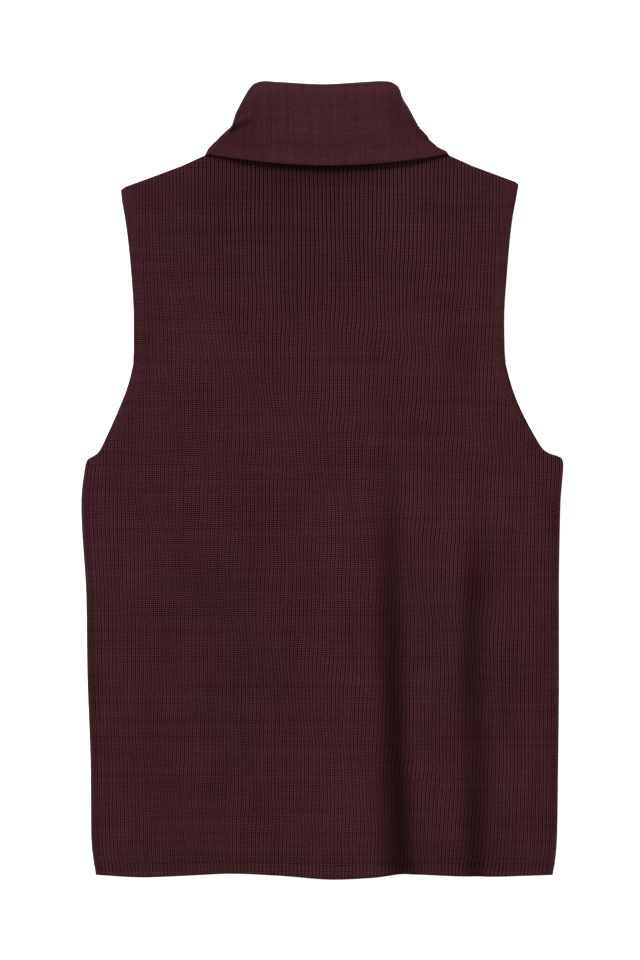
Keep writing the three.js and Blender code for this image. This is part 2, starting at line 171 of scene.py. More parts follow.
# Above the underarm the edges are open. Each has a plain border with courses of its own, counted
# along the edge
ARMHOLE_OPENS = UNDERARM - 6
ARMHOLE_OPENS_OVER = 12
OPEN_EDGE_BLEND = 3
BORDER_WIDTH = 9.0
BORDER_BLEND = 2.0
BORDER_STARTS = 397
BORDER_FADES_IN = 12
BORDER_GROWS = 32
EDGE_COURSE = 1.95
EDGE_FROM = UNDERARM - 20
EDGE_POINTS = 1500
SLOPE_STEP = 0.5

# Below the underarm, the last rib along each side seam is smooth, and a dark line runs beside it
SIDE_STRIP = 4.4
SIDE_STRIP_BLEND = 0.8
SIDE_STRIP_SHOWS = 0.35
SIDE_STRIP_TOP = UNDERARM - 36
SIDE_STRIP_FADES = 30
SIDE_LINE = 0.4
SIDE_LINE_IN = 5.0
SIDE_LINE_HALF = 0.9

# Courses counted up from the hem: the lower ones lie a little closer
COURSES = [(0, 0), (300, 157.9), (VEST_LENGTH, 381.1)]

# How strongly the ribs stand out, in relief and in the painted shade of their valleys, up the vest and
# across it, and less on the shoulders
RIBS_SHOW_UP = [(0, 0.5), (80, 0.52), (200, 0.6), (400, 0.62), (500, 0.72), (590, 1.02), (700, 1.05)]
RIBS_SHOW_ACROSS = [(-224, 0.95), (-185, 0.8), (-120, 0.68), (-70, 0.98), (150, 1.0), (224, 0.95)]
SHOULDER_SHOWS = 0.75
SHOULDER_ACROSS = 110
SHOULDER_ACROSS_OVER = 40
SHOULDER_UP = 430
SHOULDER_UP_OVER = 120

# How strongly the painted shade between courses shows, up the vest and across it
COURSES_SHOW_UP = [
    (0, 0.7),
    (150, 0.76),
    (310, 1.2),
    (400, 1.05),
    (480, 0.85),
    (560, 0.75),
    (600, 0.42),
    (700, 0.34),
]
COURSES_SHOW_ACROSS = [
    (-224, 0.5),
    (-185, 0.75),
    (-150, 1.0),
    (-100, 1.15),
    (-40, 1.0),
    (60, 1.0),
    (95, 0.3),
    (224, 0.3),
]

# The ribs wander a little sideways, less near the neck: size, wave upward, wave across, start.
# The wander fades towards the sides, over a third of the half width
WANDER = [(1.3, 260, 190, 0.4), (0.8, 120, 95, 2.1), (0.35, 47, 70, 4.0)]
WANDER_UP = [(0, 1.0), (400, 1.2), (500, 1.3), (570, 0.5), (630, 0.3), (700, 0.3)]
WANDER_FADE = 3

# Points closer than this are one point, and an edge shorter than this is closed up
MERGE_WITHIN = 0.01
CLOSE_WITHIN = 0.002

# The yarn's colour runs from YARN_DARK, the yarn deep in painted shade between its loops, to YARN_LIGHT
# on the crests; the yarn's own random tone moves between them too
YARN_LIGHT = (0.0868, 0.0330, 0.0392, 1)
YARN_DARK = (0.0195, 0.0001, 0.0003, 1)
# The colour that painted shade, and the dark seam lines, darken the yarn towards
SHADE_AND_SEAM_COLOUR = (0.0087, 0.0018, 0.0019, 1)


def ease(share):
    """A soft step from 0 to 1."""
    t = np.clip(share, 0, 1)
    return t * t * (3 - 2 * t)


def smooth_line(rows, column=1):
    """A smooth line through one column of a table, with no overshoot between its rows."""
    places = np.array([row[0] for row in rows], float)
    values = np.array([row[column] for row in rows], float)
    steps = np.diff(values) / np.diff(places)
    before = np.concatenate([steps[:1], steps])
    after = np.concatenate([steps, steps[-1:]])
    turning = before * after <= 0
    slopes = np.where(turning, 0, 2 * before * after / np.where(turning, 1, before + after))

    def value(at):
        at = np.clip(at, places[0], places[-1])
        i = np.clip(np.searchsorted(places, at) - 1, 0, len(places) - 2)
        span = places[i + 1] - places[i]
        t = (at - places[i]) / span
        start = (1 + 2 * t) * (1 - t) ** 2 * values[i] + t * (1 - t) ** 2 * span * slopes[i]
        finish = t * t * (3 - 2 * t) * values[i + 1] + t * t * (t - 1) * span * slopes[i + 1]
        return start + finish

    return value


def straight_line(rows):
    """A straight line from row to row of a table."""
    places, values = np.array(rows, float).T
    return lambda at: np.interp(at, places, values)


half_left = smooth_line(SIDES, 1)
half_right = smooth_line(SIDES, 2)
spread_left = smooth_line(SPREAD, 1)
spread_right = smooth_line(SPREAD, 2)
hem_edge = smooth_line(HEM, 1)
hem_seam = smooth_line(HEM, 2)
shoulder_up = straight_line(SHOULDERS)
courses_at = straight_line(COURSES)
wander_up = smooth_line(WANDER_UP)
show_up = smooth_line(RIBS_SHOW_UP)
show_across = smooth_line(RIBS_SHOW_ACROSS)
courses_up = smooth_line(COURSES_SHOW_UP)
courses_across = smooth_line(COURSES_SHOW_ACROSS)


def front_inset(up):
    share = np.clip((up - FRONT_SCOOP_FROM) / (FRONT_SCOOP_TO - FRONT_SCOOP_FROM), 0, 1)
    return FRONT_INSET + FRONT_SCOOP * np.sin(np.pi * share) ** 2


FRONT = {
    "inset": front_inset,
    "neck_drop": FRONT_NECK_DROP,
    "neck_cut": FRONT_NECK_CUT,
    "outer_up": False,
}


def half_width(panel, rib, up):
    return np.where(rib < 0, half_left(up), half_right(up)) - panel["inset"](up)


def rib_across(panel, rib, up):
    """Where a rib runs: straight up, fanning out a little, until it ends on the armhole's edge."""
    share = np.abs(rib) / RIBS_TO_SIDE
    fan = FAN_MIDDLE * share - FAN_OUTER * share**3
    fan = fan * ease((up - UNDERARM) / (SHOULDER_TIP - UNDERARM))
    spread = np.where(rib < 0, spread_left(up), spread_right(up)) - panel["inset"](UNDERARM)
    body = half_width(panel, rib, np.minimum(up, UNDERARM))
    straight = (spread + (body - spread) * share**BEND_POWER) * (share + fan)
    side = half_width(panel, rib, up)
    held = np.sign(rib) * np.minimum(straight, side)
    wander = sum(
        size * np.sin(2 * np.pi * (up / upward + held / aside) + start)
        for size, upward, aside, start in WANDER
    )
    return held + wander * wander_up(up) * ease(WANDER_FADE * (1 - np.abs(held) / side))


def panel_top(panel, across):
    """The shoulder slopes and the neck cut between them."""
    shoulder = shoulder_up(across) - panel["inset"](VEST_LENGTH)
    share = np.clip((across - NECK_ACROSS) / NECK_HALF, -1, 1)
    tilted = NECK_UP + NECK_TILT * (across - NECK_ACROSS)
    neck = tilted - panel["neck_drop"] * (1 - share**2) - panel["neck_cut"]
    near_neck = np.abs(across - NECK_ACROSS) < NECK_HALF + NECK_BEYOND
    return np.where(near_neck, np.minimum(shoulder, neck), shoulder)


def rib_top(panel, rib):
    """The height at which each rib ends, found by halving."""
    low = np.full(len(rib), float(UNDERARM))
    high = np.full(len(rib), float(VEST_LENGTH))
    for _ in range(HALVINGS):
        middle = (low + high) / 2
        inside = middle < panel_top(panel, rib_across(panel, rib, middle))
        low = np.where(inside, middle, low)
        high = np.where(inside, high, middle)
    return low


def neck_rise(across, up):
    """The rise of both panels over the front of the folded collar, which lies below them."""
    down = np.maximum(0, NECK_RISE_UP - up) / NECK_RISE_DEEP
    away = np.hypot((across - NECK_RISE_ACROSS) / NECK_RISE_HALF, down)
    return FALL_LAYER * ease(1 - (away - 1) / NECK_RISE_RAMP)


def rib_columns():
    """The place of each column of points: valleys lie at whole ribs and crests between them."""
    return np.arange(-RIBS_TO_SIDE * RIB_COLUMNS, RIBS_TO_SIDE * RIB_COLUMNS + 1) / RIB_COLUMNS


def rib_heights(foot, top, foot_round, top_round, levels):
    """Heights of the points on each rib: shared levels, and closer ones at both of its ends."""
    low = foot[:, None] + ROUND_POINTS * foot_round
    high = top[:, None] - ROUND_POINTS[::-1] * top_round
    between = np.clip(levels, low[:, -1:], high[:, :1])
    return np.hstack([low, between, high])


def ends_of(panel, across, up, foot, top_round, foot_round):
    """How far a point is from its panel's foot and from its top, in roundings of those edges."""
    slope = (panel_top(panel, across + 1) - panel_top(panel, across - 1)) / 2
    to_top = (panel_top(panel, across) - up) / np.hypot(1, slope)
    return to_top / top_round, (up - foot) / foot_round


def side_slope(panel, rib, up):
    """How fast the half width grows with height."""
    above = half_width(panel, rib, up + SLOPE_STEP)
    return (above - half_width(panel, rib, up - SLOPE_STEP)) / (2 * SLOPE_STEP)


def along_edge(panel, rib, up, inset, slope):
    """How far along the armhole's edge its nearest place to a point lies."""
    foot_up = up - inset * slope / (1 + slope**2)
    heights = np.linspace(EDGE_FROM, VEST_LENGTH, EDGE_POINTS)
    edges = np.array([half_width(panel, side, heights) for side in (-1, 1)])
    walked = np.hypot(np.diff(edges, axis=1), np.diff(heights))
    left, right = np.hstack([np.zeros((2, 1)), np.cumsum(walked, axis=1)])
    return np.where(rib < 0, np.interp(foot_up, heights, left), np.interp(foot_up, heights, right))


def rib_relief(rib, raised):
    """Height of the rib profile from 0 in a valley to 1 on a crest, flattened where not raised."""
    valley = np.abs(rib - np.floor(rib) - 0.5) * 2
    return 1 - raised * valley**VALLEY_POWER


def knit_form(panel, rib, up, base, to_top, to_foot, seam):
    """Shapes both faces of a rib knit piece, and says how its ribs and border show.

    to_top and to_foot count from 0 on those edges to 1 where the piece has its full thickness, and
    seam is 1 along the hem seam. Gives points of its outer and inner face, and for each the knit's
    own coordinates and masks."""
    across = rib_across(panel, rib, up)
    inset = half_width(panel, rib, up) - np.abs(across)
    slope = side_slope(panel, rib, up)
    to_side = inset / np.hypot(1, slope)

    grown = ease((up - BORDER_STARTS) / BORDER_GROWS)
    border = 1 - ease((to_side - BORDER_WIDTH * grown) / BORDER_BLEND)
    border = border * ease((up - BORDER_STARTS) / BORDER_FADES_IN)

    shoulder = ease((np.abs(across) - SHOULDER_ACROSS) / SHOULDER_ACROSS_OVER)
    shoulder = shoulder * ease((up - SHOULDER_UP) / SHOULDER_UP_OVER)
    below = 1 - ease((up - SIDE_STRIP_TOP) / SIDE_STRIP_FADES)
    strip = (1 - ease((to_side - SIDE_STRIP) / SIDE_STRIP_BLEND)) * below
    plain = (1 - border) * (1 - (1 - SIDE_STRIP_SHOWS) * strip)
    raised = plain * show_up(up) * show_across(across) * (1 + (SHOULDER_SHOWS - 1) * shoulder)
    line = SIDE_LINE * np.exp(-(((to_side - SIDE_LINE_IN) / SIDE_LINE_HALF) ** 2)) * below

    round_share = np.clip(np.minimum(to_side / EDGE_ROUND, np.minimum(to_top, to_foot)), 0, 1)
    rounded = np.sqrt(1 - (1 - round_share) ** 2)
    relief = rib_relief(rib, raised)
    lift_outer = BODY_WALL - RIB_RISE * (1 - relief)
    lift_inner = INNER_RISE * relief
    open_edge = ease((to_top * EDGE_ROUND - to_side) / OPEN_EDGE_BLEND + 1)
    open_edge = open_edge * ease((up - ARMHOLE_OPENS) / ARMHOLE_OPENS_OVER)
    pivot = np.maximum(open_edge * BODY_WALL / 2, seam * SEAM_PIVOT)
    lift_outer = pivot + (lift_outer - pivot) * rounded
    lift_inner = pivot + (lift_inner - pivot) * rounded
    if panel["outer_up"]:
        outer, inner = base + lift_outer, base + lift_inner
    else:
        outer, inner = base + BODY_WALL - lift_outer, base + BODY_WALL - lift_inner
    place = np.stack([across, up - VEST_LENGTH / 2], axis=-1)
    return {
        "outer": np.dstack([place, outer]),
        "inner": np.dstack([place, inner]),
        "knit": np.stack([rib + 0 * up, courses_at(up)], axis=-1),
        "masks": {
            "raised": raised,
            "border": border,
            "legs": plain,
            "courses": courses_up(up) * courses_across(across),
            "edge_course": along_edge(panel, rib, up, inset, slope) / EDGE_COURSE,
            "painted_shade_and_seam_lines": line,
        },
    }


def add_face(bm, points, knit, masks, turned):
    """Adds a grid of points as one face of the cloth, with the knit's coordinates on it."""
    across, along = points.shape[0] - 1, points.shape[1] - 1
    grid = bmesh.ops.create_grid(bm, x_segments=across, y_segments=along, size=0.5)
    verts = grid["verts"]
    places = np.array([vert.co[:2] for vert in verts]) + 0.5
    column = np.rint(places[:, 0] * across).astype(int)
    row = np.rint(places[:, 1] * along).astype(int)
    layers = [(bm.verts.layers.float[name], values[column, row]) for name, values in masks.items()]
    for vert, point in zip(verts, points[column, row] * MM):
        vert.co = point
    for layer, values in layers:
        for vert, value in zip(verts, values):
            vert[layer] = value
    bm.verts.index_update()
    first = verts[0].index
    uv = bm.loops.layers.uv["knit"]
    stitch = knit[column, row]
    faces = {face for vert in verts for face in vert.link_faces}
    for face in faces:
        for loop in face.loops:
            loop[uv].uv = stitch[loop.vert.index - first]
    if turned:
        bmesh.ops.reverse_faces(bm, faces=list(faces))


def finish_cloth(bm, name, material, node):
    """Closes the cloth's edges, and makes it the piece that stands for its CAD node."""
    bmesh.ops.remove_doubles(bm, verts=bm.verts, dist=MERGE_WITHIN * MM)
    bmesh.ops.dissolve_degenerate(bm, edges=bm.edges, dist=CLOSE_WITHIN * MM)
    mesh = bpy.data.meshes.new(name)
    bm.to_mesh(mesh)
    bm.free()
    mesh.shade_smooth()
    mesh.materials.append(material)
    piece = bpy.data.objects.new(name, mesh)
    bpy.context.scene.collection.objects.link(piece)
    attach(piece, "root")
    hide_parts(node)
    return piece


def knit_piece(name, material, node, form, facing_up):
    bm = bmesh.new()
    bm.loops.layers.uv.new("knit")
    for mask in form["masks"]:
        bm.verts.layers.float.new(mask)
    add_face(bm, form["outer"], form["knit"], form["masks"], not facing_up)
    add_face(bm, form["inner"], form["knit"], form["masks"], facing_up)
    return finish_cloth(bm, name, material, node)


# Shares of the way from the dark to the light colour of the yarn. The rib valleys, the line between each
# stitch's two legs and the lines between courses are darkened with painted shade, where shade falls
# between the yarn's loops
MIDDLE_SHADE = 0.44
RIB_SHADE = 0.34
LEG_SHADE = 0.49
COURSE_SHADE = 0.36

# The legs of the stitches show a part of this always, and the rest where the ribs are raised
LEGS_ALWAYS = 0.7
LEGS_RAISED = 0.5

# How far the ribs sway and the courses are pulled, in ribs and courses, and how the courses come
# and go in patches. Each noise has a scale, a detail and a stretch
SWAY = 0.24
SWAY_NOISE = (1.0, 1.0, (0.25, 0.06, 1.0))
PULL = 1.1
PULL_NOISE = (1.0, 1.0, (0.35, 0.10, 1.0))
PATCH_LEAST = 0.6
PATCH_MORE = 0.8
PATCH_NOISE = (1.0, 1.0, (0.10, 0.06, 1.0))

# What varies the shade: fibres, ribs, rows and blotches. Coordinates, size, and a noise
RIB_TEXTURES = [
    ("Knit", 1.0, (1.3, 2.0, (2.0, 1.0, 1.0))),
    ("Knit", 0.26, (1.0, 1.0, (0.9, 0.03, 1.0))),
    ("Knit", 0.36, (1.0, 2.0, (0.02, 0.25, 1.0))),
    ("Place", 0.30, (22.0, 2.0, (1.0, 0.6, 1.0))),
]

# Relief too small for the mesh, in shares of the bump
LEG_DEEP = 0.18
COURSE_DEEP = 0.18
VALLEY_DEEP = 0.1
RIB_BUMP = 1.0

YARN_ROUGHNESS = 0.9
YARN_SPECULAR = 0.03
YARN_SHEEN = 0.01
SHEEN_ROUGHNESS = 0.5
SHEEN_TINT = (0.9, 0.5, 0.55, 1)


def new_group(name, inputs, outputs):
    """A shader node group, with its input and output nodes."""
    tree = bpy.data.node_groups.new(name, "ShaderNodeTree")
    for socket, kind in inputs:
        tree.interface.new_socket(socket, in_out="INPUT", socket_type="NodeSocket" + kind)
    for socket, kind in outputs:
        tree.interface.new_socket(socket, in_out="OUTPUT", socket_type="NodeSocket" + kind)
    start = tree.nodes.new("NodeGroupInput")
    end = tree.nodes.new("NodeGroupOutput")
    return tree, start.outputs, end.inputs


def feed(tree, socket, value):
    if isinstance(value, bpy.types.NodeSocket):
        tree.links.new(value, socket)
    else:
        socket.default_value = value


def calc(tree, operation, *values):
    """A Math node on sockets or numbers."""
    node = tree.nodes.new("ShaderNodeMath")
    node.operation = operation
    for i, value in enumerate(values):
        feed(tree, node.inputs[i], value)
    return node.outputs[0]


def mix_colour(tree, share, first, second):
    node = tree.nodes.new("ShaderNodeMix")
    node.data_type = "RGBA"
    for i, given in ((0, share), (6, first), (7, second)):
        feed(tree, node.inputs[i], given)
    return node.outputs[2]


def noise(tree, place, scale, detail, stretch):
    """Noise of about 0 to 1 over a vector, stretched along its axes."""
    scaled = tree.nodes.new("ShaderNodeVectorMath")
    scaled.operation = "MULTIPLY"
    tree.links.new(place, scaled.inputs[0])
    scaled.inputs[1].default_value = stretch
    node = tree.nodes.new("ShaderNodeTexNoise")
    tree.links.new(scaled.outputs[0], node.inputs["Vector"])
    node.inputs["Scale"].default_value = scale
    node.inputs["Detail"].default_value = detail
    return node.outputs["Fac"]


def wave(tree, turns):
    """A cosine: 1 at each whole turn, and -1 half way between."""
    return calc(tree, "COSINE", calc(tree, "MULTIPLY", turns, 2 * math.pi))


def vary(tree, given, shade, textures):
    """Adds textures to a shade, each around its middle."""
    for place, size, texture in textures:
        change = noise(tree, given[place], *texture)
        shade = calc(tree, "ADD", shade, calc(tree, "MULTIPLY_ADD", change, size, -size / 2))
    return shade


def yarn_colour(tree, given, shade):
    node = tree.nodes.new("ShaderNodeClamp")
    tree.links.new(shade, node.inputs[0])
    return mix_colour(tree, node.outputs[0], given["Dark"], given["Light"])


def rib_stitches():
    """1x1 rib: on each crest a row of stitches with two legs, and plain courses in the border."""
    tree, given, gives = new_group(
        "rib stitches",
        [("Knit", "Vector"), ("Place", "Vector"), ("Raised", "Float"), ("Border", "Float"),
         ("Legs", "Float"), ("Courses", "Float"), ("Edge Course", "Float"), ("Painted Shade And Seam Lines", "Float"),
         ("Light", "Color"), ("Dark", "Color")],
        [("Colour", "Color"), ("Height", "Float")],
    )
    split = tree.nodes.new("ShaderNodeSeparateXYZ")
    tree.links.new(given["Knit"], split.inputs[0])
    ribs, courses = split.outputs[0], split.outputs[1]
    pull = noise(tree, given["Knit"], *PULL_NOISE)
    sway = noise(tree, given["Knit"], *SWAY_NOISE)
    ribs = calc(tree, "ADD", ribs, calc(tree, "MULTIPLY_ADD", sway, SWAY, -SWAY / 2))
    courses = calc(tree, "ADD", courses, calc(tree, "MULTIPLY_ADD", pull, PULL, -PULL / 2))
    valley = calc(tree, "MULTIPLY", wave(tree, ribs), given["Raised"])
    legs = calc(tree, "MULTIPLY", wave(tree, calc(tree, "MULTIPLY", ribs, 2.0)), given["Legs"])
    shown = calc(tree, "MULTIPLY_ADD", given["Raised"], LEGS_RAISED, LEGS_ALWAYS)
    legs = calc(tree, "MULTIPLY", legs, shown)
    course = wave(tree, courses)
    edge_course = wave(tree, given["Edge Course"])
    turned = calc(tree, "SUBTRACT", edge_course, course)
    course = calc(tree, "MULTIPLY_ADD", turned, given["Border"], course)

    patches = noise(tree, given["Knit"], *PATCH_NOISE)
    patchy = calc(tree, "MULTIPLY_ADD", patches, PATCH_MORE * COURSE_SHADE, PATCH_LEAST * COURSE_SHADE)
    course_size = calc(tree, "MULTIPLY", given["Courses"], patchy)
    # Painted shade: darker in the rib valleys, between the legs and between the courses
    shade = calc(tree, "MULTIPLY_ADD", valley, -RIB_SHADE, MIDDLE_SHADE)
    shade = calc(tree, "MULTIPLY_ADD", legs, -LEG_SHADE, shade)
    shade = calc(tree, "SUBTRACT", shade, calc(tree, "MULTIPLY", course, course_size))
    colour = yarn_colour(tree, given, vary(tree, given, shade, RIB_TEXTURES))
    # The yarn is darkened towards that colour by painted shade in the folds and below the collar, and
    # along the dark seam lines
    tree.links.new(mix_colour(tree, given["Painted Shade And Seam Lines"], colour, SHADE_AND_SEAM_COLOUR), gives["Colour"])
    height = calc(tree, "MULTIPLY_ADD", legs, -LEG_DEEP, calc(tree, "MULTIPLY", course, -COURSE_DEEP))
    tree.links.new(calc(tree, "MULTIPLY_ADD", valley, -VALLEY_DEEP, height), gives["Height"])
    return tree


def knit_material(name, group, light, dark, relief, inputs):
    """A matt yarn fabric whose stitches come from a group."""
    material = bpy.data.materials.new(name)
    material.use_nodes = True
    tree = material.node_tree
    shader = tree.nodes["Principled BSDF"]
    shader.inputs["Roughness"].default_value = YARN_ROUGHNESS
    shader.inputs["Specular IOR Level"].default_value = YARN_SPECULAR
    shader.inputs["Sheen Weight"].default_value = YARN_SHEEN
    shader.inputs["Sheen Roughness"].default_value = SHEEN_ROUGHNESS
    shader.inputs["Sheen Tint"].default_value = SHEEN_TINT
    stitches = tree.nodes.new("ShaderNodeGroup")
    stitches.node_tree = group
    knit = tree.nodes.new("ShaderNodeUVMap")
    knit.uv_map = "knit"
    place = tree.nodes.new("ShaderNodeTexCoord")
    tree.links.new(knit.outputs[0], stitches.inputs["Knit"])
    tree.links.new(place.outputs["Object"], stitches.inputs["Place"])
    for socket, attribute in inputs:
        node = tree.nodes.new("ShaderNodeAttribute")
        node.attribute_name = attribute
        tree.links.new(node.outputs["Fac"], stitches.inputs[socket])
    stitches.inputs["Light"].default_value = light
    stitches.inputs["Dark"].default_value = dark
    bump = tree.nodes.new("ShaderNodeBump")
    bump.inputs["Distance"].default_value = relief * MM
    tree.links.new(stitches.outputs["Height"], bump.inputs["Height"])
    tree.links.new(stitches.outputs["Colour"], shader.inputs["Base Color"])
    tree.links.new(bump.outputs[0], shader.inputs["Normal"])
    return material


rib_knit = knit_material(
    "rib knit, dark aubergine yarn",
    rib_stitches(),
    YARN_LIGHT,
    YARN_DARK,
    RIB_BUMP,
    [("Raised", "raised"), ("Border", "border"), ("Legs", "legs"), ("Courses", "courses"),
     ("Edge Course", "edge_course"), ("Painted Shade And Seam Lines", "painted_shade_and_seam_lines")],
)


# Rows of points: close ones follow the sharp turn of the outline at the underarm, and even ones
# fill the rest, from a little above the seam and with a gap to the close ones
UNDERARM_ROWS = [380, 386, 389, 391, 392.5, 394, 396, 398, 400, 403, 406, 409, 414, 420, 430, 442]
ROWS_FROM = HEM_SEAM + 14
ROWS_TO = 690
GAP_BELOW = 4
GAP_ABOVE = 12


def panel_form(panel, step, base_of):
    """The form of a front or back panel, and where each of its points lies across and up."""
    rib = rib_columns()
    foot = hem_seam(rib_across(panel, rib, HEM_SEAM))
    below = np.arange(ROWS_FROM, UNDERARM_ROWS[0] - GAP_BELOW, step)
    above = np.arange(UNDERARM_ROWS[-1] + GAP_ABOVE, ROWS_TO, step)
    levels = np.concatenate([below, UNDERARM_ROWS, above])
    up = rib_heights(foot, rib_top(panel, rib), SEAM_ROUND, EDGE_ROUND, levels)
    across = rib_across(panel, rib[:, None], up)
    to_top, to_foot = ends_of(panel, across, up, foot[:, None], EDGE_ROUND, SEAM_ROUND)
    seam = ease(1 - to_foot / SEAM_REACH)
    form = knit_form(panel, rib[:, None], up, base_of(across, up), to_top, to_foot, seam)
    return form, across, up


FRONT_STEP = 24

form, across, up = panel_form(FRONT, FRONT_STEP, neck_rise)
front_panel = knit_piece("front_panel_knit", rib_knit, "front_panel", form, False)


# Front hem band
# A narrow band of the same rib, linked to the front panel's foot. Its free edge waves a little.

BAND_LEVELS = np.array([0.3, 0.5, 0.7])
BAND_RIBS_SHOW = 1.2
BAND_LEGS_SHOW = 0.3
BAND_COURSES_SHOW = 0.2

# The valleys are darkest at the seam: how dark, and how far down
BAND_TOP_DARK = 0.55
BAND_TOP_OVER = 5


def band_form(panel, short, base_of):
    """The form of a band between the hem's edge and its seam, and where its points lie."""
    rib = rib_columns()
    place = rib_across(panel, rib, HEM_SEAM)
    foot, seam_up = hem_edge(place) + short, hem_seam(place)
    levels = foot[:, None] + BAND_LEVELS * (seam_up - foot)[:, None]
    up = rib_heights(foot, seam_up, EDGE_ROUND, SEAM_ROUND, levels)
    across = rib_across(panel, rib[:, None], up)
    to_top, to_foot = (seam_up[:, None] - up) / SEAM_ROUND, (up - foot[:, None]) / EDGE_ROUND
    seam = ease(1 - to_top / SEAM_REACH)
    form = knit_form(panel, rib[:, None], up, base_of(across, up), to_top, to_foot, seam)
    form["masks"]["raised"] = form["masks"]["raised"] * BAND_RIBS_SHOW
    form["masks"]["legs"] = form["masks"]["legs"] * BAND_LEGS_SHOW
    form["masks"]["courses"] = form["masks"]["courses"] * BAND_COURSES_SHOW
    valley = (0.5 + 0.5 * np.cos(2 * np.pi * rib[:, None])) ** 2
    near_seam = ease(1 - (seam_up[:, None] - up) / BAND_TOP_OVER)
    form["masks"]["painted_shade_and_seam_lines"] = form["masks"]["painted_shade_and_seam_lines"] + BAND_TOP_DARK * valley * near_seam
    return form, across, up


form, across, up = band_form(FRONT, FRONT_INSET, lambda across, up: 0 * up)
front_hem_band = knit_piece("front_hem_band_knit", rib_knit, "front_hem_band", form, False)


# Back panel
# The same rib as the front with a shallow neck, lying on the front and joined to it at the sides
# and shoulders. It stands off the front in a few long soft folds that run up from the hem.

BACK_NECK_DROP = 7
BACK_NECK_CUT = 0.4
BACK_REST = BODY_WALL + SEAM_GAP
BACK_STEP = 12.5

BACK = {
    "inset": lambda up: 0 * up,
    "neck_drop": BACK_NECK_DROP,
    "neck_cut": BACK_NECK_CUT,
    "outer_up": True,
}

# How far the back stands off the front below its folds' top: across, height
STAND_OFF = [
    (-222, 0),
    (-204, 1.0),
    (-185, 1.3),
    (-122, 1.7),
    (-60, 2.1),
    (16, 2.5),
    (70, 2.8),
    (106, 2.9),
    (140, 2.6),
    (179, 2.0),
    (205, 1.4),
    (224, 0),
]
STAND_OFF_FULL = 250
STAND_OFF_GONE = 405

# Troughs that run up from the hem: each follows its line (up, across), with widths to its left and
# right, its share of the rise, and the heights where it is full and where it has gone
TROUGHS = [
    {"line": [(0, 75.5), (74, 70.5), (167, 67.3), (260, 65.4), (343, 64.5), (420, 63.5)],
     "left": 17, "right": 10, "share": 1.0, "full": 290, "gone": 375},
    {"line": [(0, 66), (74, 60), (167, 54), (260, 50), (343, 47), (420, 46)],
     "left": 40, "right": 20, "share": 0.22, "full": 250, "gone": 350},
    {"line": [(0, 144.5), (27, 143.5), (120, 140.7), (167, 138), (213, 138), (297, 144.4), (420, 145)],
     "left": 13, "right": 14, "share": 0.85, "full": 235, "gone": 400},
    {"line": [(0, -92), (167, -90), (330, -86), (420, -84)],
     "left": 24, "right": 16, "share": 0.4, "full": 250, "gone": 370},
    {"line": [(0, -154), (167, -152), (330, -150), (420, -150)],
     "left": 16, "right": 16, "share": 0.4, "full": 250, "gone": 370},
    {"line": [(0, 184), (167, 183), (330, 182), (420, 182)],
     "left": 14, "right": 12, "share": 0.4, "full": 200, "gone": 330},
]

# Painted shade, where the ribs are darkened: in the folds' troughs, below the collar, and in broad
# patches low on the left and right. Lines as above, and how dark up the vest
SHADES = [
    {"line": [(0, 73.5), (38, 71.2), (111, 69.2), (185, 67.6), (250, 66.0), (343, 65.2)],
     "left": 26, "right": 17,
     "dark": [(0, 0.76), (38, 0.77), (90, 0.79), (140, 0.8), (185, 0.74), (250, 0.62), (315, 0.45),
              (370, 0.2), (420, 0)]},
    {"line": [(0, 84), (90, 78)],
     "left": 12, "right": 18,
     "dark": [(0, 0.28), (27, 0.25), (60, 0.26), (90, 0.1), (130, 0)]},
    {"line": [(0, 142), (38, 141.6), (111, 143.5), (185, 139.5), (250, 141.6), (343, 143)],
     "left": 19, "right": 21,
     "dark": [(0, 0.62), (38, 0.6), (120, 0.5), (185, 0.49), (250, 0.5), (315, 0.21), (400, 0)]},
    {"line": [(0, -35), (VEST_LENGTH, -35)],
     "left": 150, "right": 140,
     "dark": [(510, 0), (560, 0.09), (610, 0.18), (650, 0.25), (690, 0.28)]},
    {"line": [(0, 130), (VEST_LENGTH, 130)],
     "left": 90, "right": 110,
     "dark": [(0, 0.05), (60, 0.07), (200, 0.09), (270, 0.05), (330, 0)]},
    {"line": [(0, -98), (VEST_LENGTH, -98)],
     "left": 115, "right": 115,
     "dark": [(0, 0.06), (60, 0.08), (200, 0.1), (380, 0.08), (480, 0)]},
    {"line": [(0, 5), (VEST_LENGTH, 5)],
     "left": 95, "right": 95,
     "dark": [(638, 0), (650, 0.12), (659, 0.4), (690, 0.45)]},
]
stand_off = smooth_line(STAND_OFF)


def line_share(row, across, up):
    """How near a point lies to a line up the vest, from 0 beyond its widths to 1 on it."""
    off = across - smooth_line(row["line"])(up)
    reach = np.where(off < 0, row["left"], row["right"])
    return ease(1 - np.abs(off) / reach)


def back_base(across, up):
    rise = stand_off(across) * (1 - ease((up - STAND_OFF_FULL) / (STAND_OFF_GONE - STAND_OFF_FULL)))
    for trough in TROUGHS:
        deep = 1 - ease((up - trough["full"]) / (trough["gone"] - trough["full"]))
        rise = rise * (1 - trough["share"] * line_share(trough, across, up) * deep)
    return BACK_REST + neck_rise(across, up) + rise


# Painted shade: the sum of the SHADES lines
def painted_shade_mask(across, up):
    dark = 0 * up
    for shade in SHADES:
        dark = dark + smooth_line(shade["dark"])(up) * line_share(shade, across, up)
    return dark


form, across, up = panel_form(BACK, BACK_STEP, back_base)
# Painted shade in the folds and below the collar, added to the dark seam lines
form["masks"]["painted_shade_and_seam_lines"] = form["masks"]["painted_shade_and_seam_lines"] + painted_shade_mask(across, up)
back_panel = knit_piece("back_panel_knit", rib_knit, "back_panel", form, True)


# Back hem band
# The same narrow band on the back's foot. Its ribs stand out a little more than the panel's.

form, across, up = band_form(BACK, 0, back_base)
